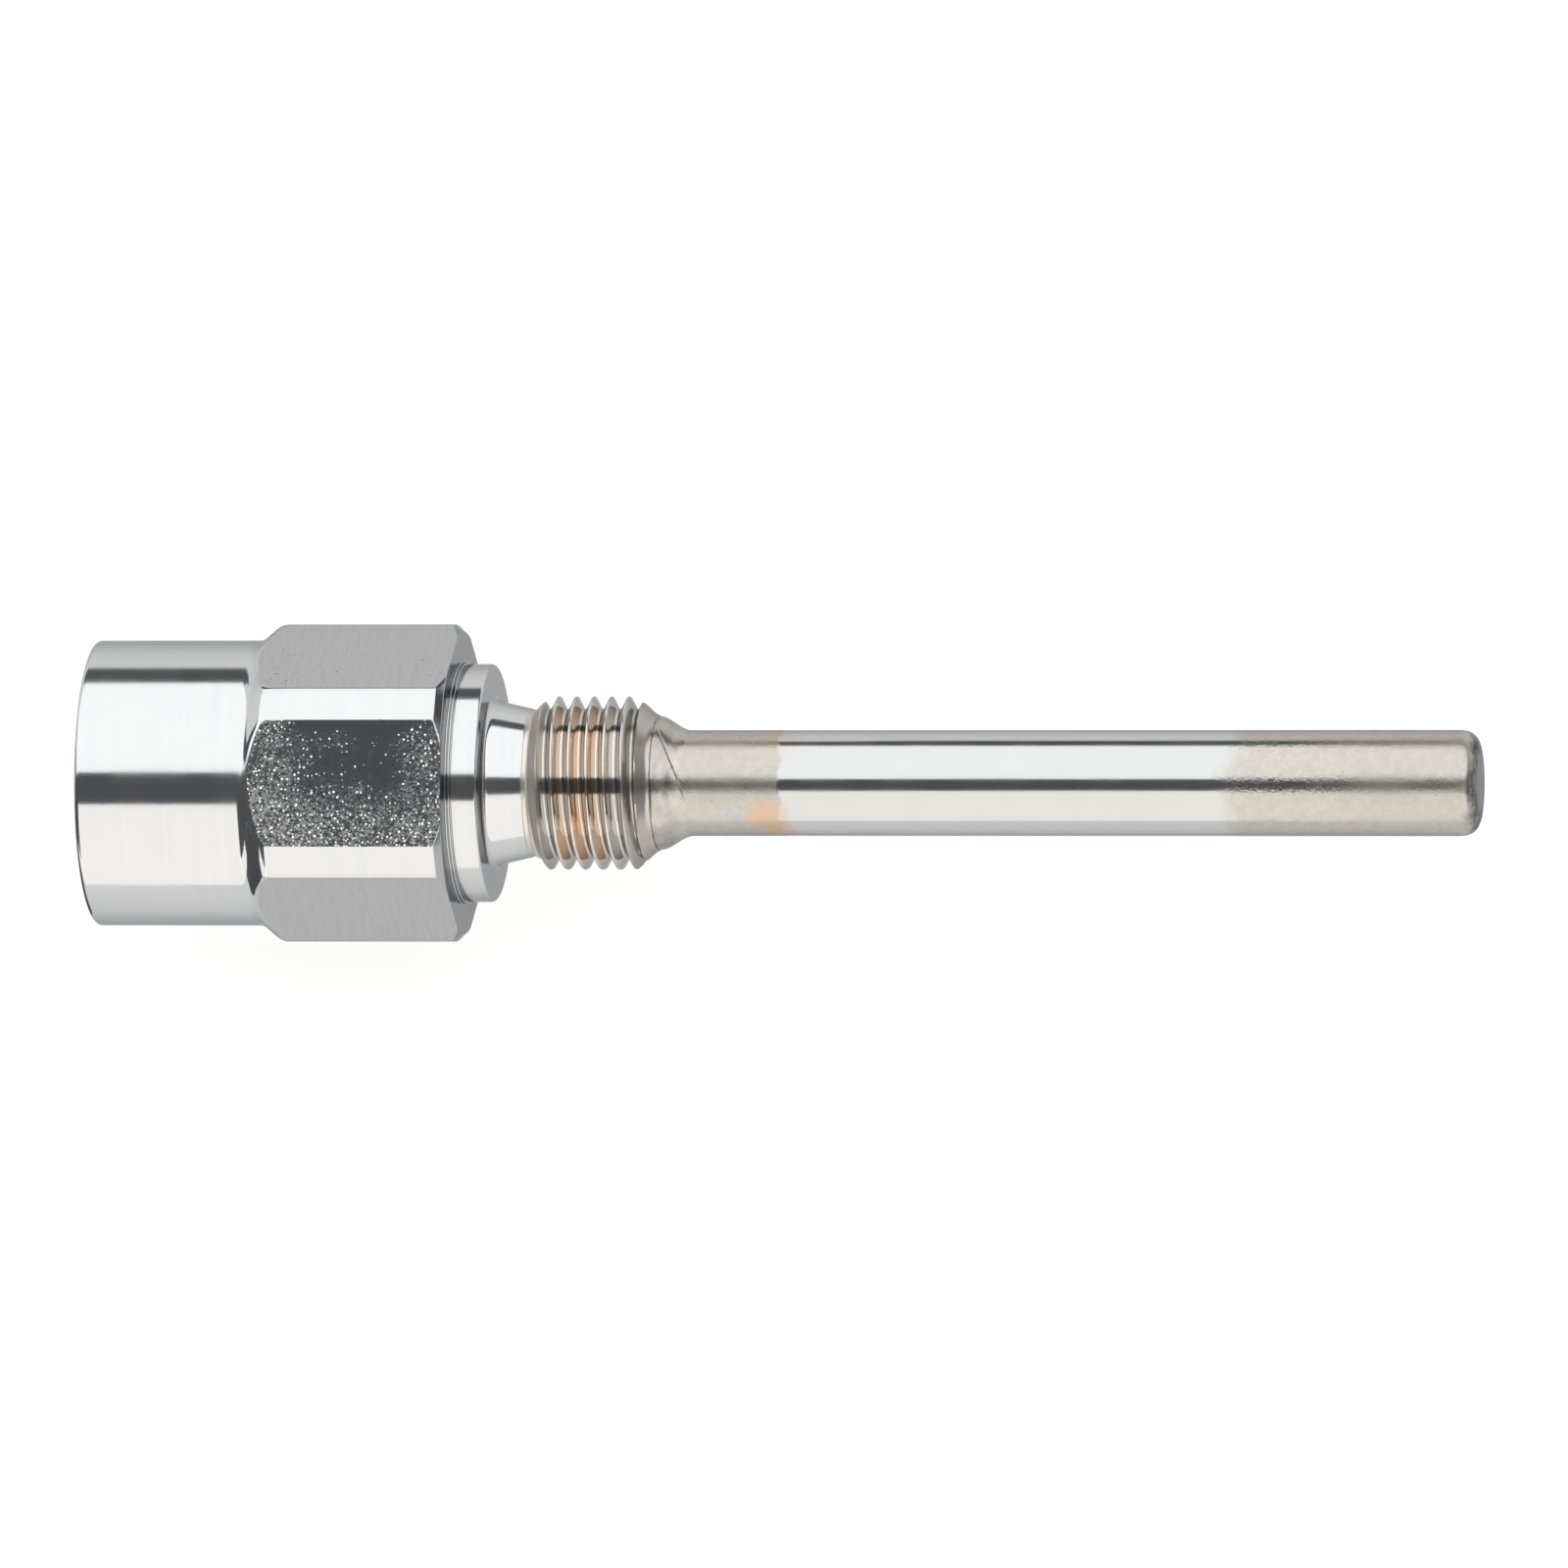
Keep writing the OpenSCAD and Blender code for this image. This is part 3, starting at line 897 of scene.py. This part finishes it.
# ---------------------------------------------------------------- fillet weld
def lumps(x, phi, along, around):
    """Noise over a welded surface, with a scale along X and one round it."""
    return noise.noise(Vector((x * along, math.cos(phi) * around, math.sin(phi) * around)))


def lap(phi):
    """Where the end of the bead laps over its start: a line that slants round the tube."""
    reach = 2.45
    turn = math.degrees(phi) % 360
    out = ease((turn - 10) / 105) if turn < 200 else ease((370 - turn) / 60)
    sway = 0.1 * noise.noise(Vector((math.cos(phi) * 2, math.sin(phi) * 2, 5.0)))
    return NOSE_END + reach * out + sway


def bead_radius(x, phi):
    """Fillet from the nose to the tube; it ends just under the surface of the tube."""
    step_height, step_width, sunk = 0.055, 0.025, 0.035
    crease_depth, crease_width = 0.03, 0.05
    fall = 1 - ease((x - WELD_FROM) / (WELD_TO - WELD_FROM))
    uneven = 0.022 * lumps(x, phi, 0.9, 3.2) + 0.006 * lumps(x, phi, 3.0, 9)
    off = x - lap(phi)
    step = step_height / (1 + math.exp(off / step_width)) - sunk
    crease = -crease_depth * math.exp(-((off - crease_width) / crease_width) ** 2)
    edge = min(1.0, (x - NOSE_END) / 0.12)
    return TUBE_R + WELD_LEG * fall - 0.02 * (1 - edge) + (uneven * min(1.0, fall * 3) + step + crease)


def weld_bead():
    """Bead with its own inner wall just under the surface of the tube."""
    weld = Skin()
    phis = evenly(WELD_SIDES)
    inner_r = TUBE_R - 0.05
    step, count = 0.035, 77
    stations = [NOSE_END + step * i for i in range(count)]
    rings = [weld.ring(NOSE_END, inner_r, phis)]
    rings += [weld.ring(x, bead_radius, phis) for x in stations]
    rings.append(weld.ring(stations[-1], inner_r, phis))
    weld.chain([*rings, rings[0]])
    return weld.build("weld_bead", [weld_steel()])


# ---------------------------------------------------------------- closed tip
def tip_radius(x, r, phi):
    """Slightly uneven edge that follows the tube at the seam; the face is plain."""
    if r < TIP_FACE_R:
        return r
    grow_length, depth, sunk = 0.4, 0.016, 0.012
    grow = min(1.0, (x - SEAM_X) / grow_length)
    uneven = depth * lumps(x, phi, 1.5, 5) - sunk
    return min(r, r + grow * uneven) + tube_radius(SEAM_X, phi) - TUBE_R


def tip_cap():
    """Disc with a rounded edge that closes the tube."""
    tip = Skin()
    steps = 24
    outline = [(SEAM_X, TUBE_R)]
    for i in range(steps + 1):
        turn = math.pi / 2 * i / steps
        outline.append((TIP_X - TIP_LONG * (1 - math.sin(turn) ** TIP_SQUARE),
                        TUBE_R - TIP_WIDE * (1 - max(0.0, math.cos(turn)) ** TIP_SQUARE)))
    outline += [(TIP_X, r) for r in TIP_FACE_RINGS]
    seam, face = tip.turned(outline, ROUND_TUBE, tip_radius)
    tip.cap(face)
    tip.cap(seam)
    return tip.build("tip_cap", [cap_steel()])


bore_finish = bored_steel()
for piece, node, slot in (
        (machined_body(bore_finish), "socket_body", "machined_steel"),
        (probe_tube(bore_finish), "probe_tube", "tube_steel"),
        (weld_bead(), "root_weld", "weld_steel"),
        (tip_cap(), "end_plug", "tube_steel")):
    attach(piece, "root")
    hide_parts(node)


# ---------------------------------------------------------------- floor, metres from here on
FLOOR_Z = -FLAT_R * MM


def pale_floor():
    """Floor in the plane of the lowest flat. It glows for the camera and the metal, and keeps the shadow."""
    seen, mirrored = 0.79, 0.7
    k = Nodes("pale_floor")
    k.matt()
    k.feed(Base_Color=(0.32, 0.32, 0.32))
    ray = k.add("ShaderNodeLightPath").outputs
    in_metal = k.math("MAXIMUM", ray["Is Glossy Ray"], ray["Is Transmission Ray"])
    glow = k.add("ShaderNodeEmission")
    k.link(k.times_plus(in_metal, mirrored, k.times(ray["Is Camera Ray"], seen)), glow.inputs["Strength"])
    both = k.add("ShaderNodeAddShader")
    k.link(k.shader.outputs[0], both.inputs[0])
    k.link(glow.outputs[0], both.inputs[1])
    k.show(both)
    bpy.ops.mesh.primitive_plane_add(size=12.0, location=(0, 0, FLOOR_Z))
    floor = bpy.context.object
    floor.name = "floor"
    floor.data.materials.append(k.material)
    return floor


floor = pale_floor()


# ---------------------------------------------------------------- lights
def area_light(name, width, height, radiance, color=(1.0, 1.0, 1.0)):
    """Rectangular light with the same radiance all over."""
    data = bpy.data.lights.new(name, "AREA")
    data.shape = "RECTANGLE"
    data.size = width
    data.size_y = height
    data.color = color
    data.energy = radiance * math.pi * data.size * data.size_y
    return add_object(name, data)


def softbox(name, side, near, far, x0, x1, color, radiance):
    """Long flat light beside the object, on the +Y side for 1 and on the -Y side for -1.

    near and far are its long edges, as (degrees off the vertical, metres from the axis).
    """
    (a0, d0), (a1, d1) = near, far
    y0, z0 = math.sin(math.radians(a0)) * d0 * side, math.cos(math.radians(a0)) * d0
    y1, z1 = math.sin(math.radians(a1)) * d1 * side, math.cos(math.radians(a1)) * d1
    across = Vector((0.0, y1 - y0, z1 - z0))
    light = area_light(name, x1 - x0, across.length, radiance, color)
    y_axis = across.normalized()
    x_axis = Vector((side, 0, 0))
    z_axis = x_axis.cross(y_axis)
    if z_axis.z < 0:
        x_axis, z_axis = -x_axis, -z_axis
    middle = Vector(((x0 + x1) / 2, (y0 + y1) / 2, (z0 + z1) / 2))
    turn = Matrix((x_axis, y_axis, z_axis)).transposed()
    light.matrix_world = Matrix.Translation(middle) @ turn.to_4x4()


def end_card(name, y0, y1):
    """Dim upright card beyond the tip, which closes the gap between the end of a softbox and the floor."""
    height = 1.6
    light = area_light(name, height, abs(y1 - y0), 0.28)
    light.location = (1.36, (y0 + y1) / 2, height / 2 + 0.01)
    light.rotation_euler = (0.0, math.radians(90), 0.0)


COOL, WARM = (0.985, 0.995, 1.0), (1.0, 0.985, 0.945)
softbox("softbox_a", 1, (8.5, 1.15), (88.6, 1.0), -1.6, 1.3, COOL, 1.5)
softbox("softbox_b", -1, (17.0, 1.15), (90.3, 1.0), -0.36, 1.3, WARM, 1.38)
softbox("softbox_c", -1, (66.0, 1.03), (90.3, 1.0), -1.5, -0.37, WARM, 1.38)
end_card("end_card_a", 0.13, 1.15)
end_card("end_card_b", -0.26, -1.15)

world = bpy.data.worlds.new("studio")
bpy.context.scene.world = world
world.use_nodes = True
background = world.node_tree.nodes["Background"]
background.inputs["Color"].default_value = (0.9, 0.95, 1.0, 1)
background.inputs["Strength"].default_value = 0.125


# ---------------------------------------------------------------- dark cloths
def dark_cloth(name, corners, full_at=None):
    """Cloth just over the floor that only the reflections in the metal show: the camera doesn't see it.

    With full_at it fades in along +Y, and is full beyond a line that goes from one (x, y) to another.
    """
    k = Nodes(name)
    k.matt()
    place = k.place()
    k.feed(Base_Color=k.mix(k.noise(place, 300.0), (0.1, 0.1, 0.11), (0.13, 0.13, 0.14)))
    if full_at:
        (x0, y0), (x1, y1) = full_at
        x, y, _ = k.xyz(place)
        share = k.math("DIVIDE", y, k.ramp(x, x0, x1, y0, y1))
        clear = k.add("ShaderNodeBsdfTransparent")
        blend = k.add("ShaderNodeMixShader")
        k.link(k.ramp(share, 0.72, 1.0), blend.inputs[0])
        k.link(clear.outputs[0], blend.inputs[1])
        k.link(k.shader.outputs[0], blend.inputs[2])
        k.show(blend)
    mesh = bpy.data.meshes.new(name)
    mesh.from_pydata([(x, y, FLOOR_Z + 0.0001) for x, y in corners], [], [list(range(len(corners)))])
    mesh.materials.append(k.material)
    cloth = add_object(name, mesh)
    cloth.visible_camera = cloth.visible_diffuse = cloth.visible_shadow = False


dark_cloth("cloth_behind", [(1.6, 0.03), (-0.06, 0.03), (-0.085, 0.077), (-0.6, 1.4), (1.6, 1.4)],
           full_at=((0.006, 0.077), (0.022, 0.06)))
dark_cloth("cloth_left", [
    (-0.042, -0.008), (-1.6, -0.008), (-1.6, -1.2), (-0.4, -0.5), (-0.1, -0.1), (-0.042, -0.03)])

# ---------------------------------------------------------------- camera
CAMERA_YAW = math.radians(8.7)      # leans from straight above towards the tip
CAMERA_DISTANCE = 1.8
VIEW_WIDTH = 0.1182382501           # at the axis
VIEW_MIDDLE = ((52.49 - DATUM) * MM, -0.000075, 0.0)
SENSOR_WIDTH = 36.0

camera_data = bpy.data.cameras.new("camera")
camera_data.sensor_width = SENSOR_WIDTH
camera_data.lens = SENSOR_WIDTH * CAMERA_DISTANCE / VIEW_WIDTH
camera_data.clip_start = 0.05
camera_data.clip_end = 50.0
camera = add_object("camera", camera_data)
camera.location = Vector(VIEW_MIDDLE) + Vector(
    (math.sin(CAMERA_YAW) * CAMERA_DISTANCE, 0, math.cos(CAMERA_YAW) * CAMERA_DISTANCE))
camera.rotation_euler = (0.0, CAMERA_YAW, 0.0)
bpy.context.scene.camera = camera

bpy.context.scene.view_settings.view_transform = "Standard"
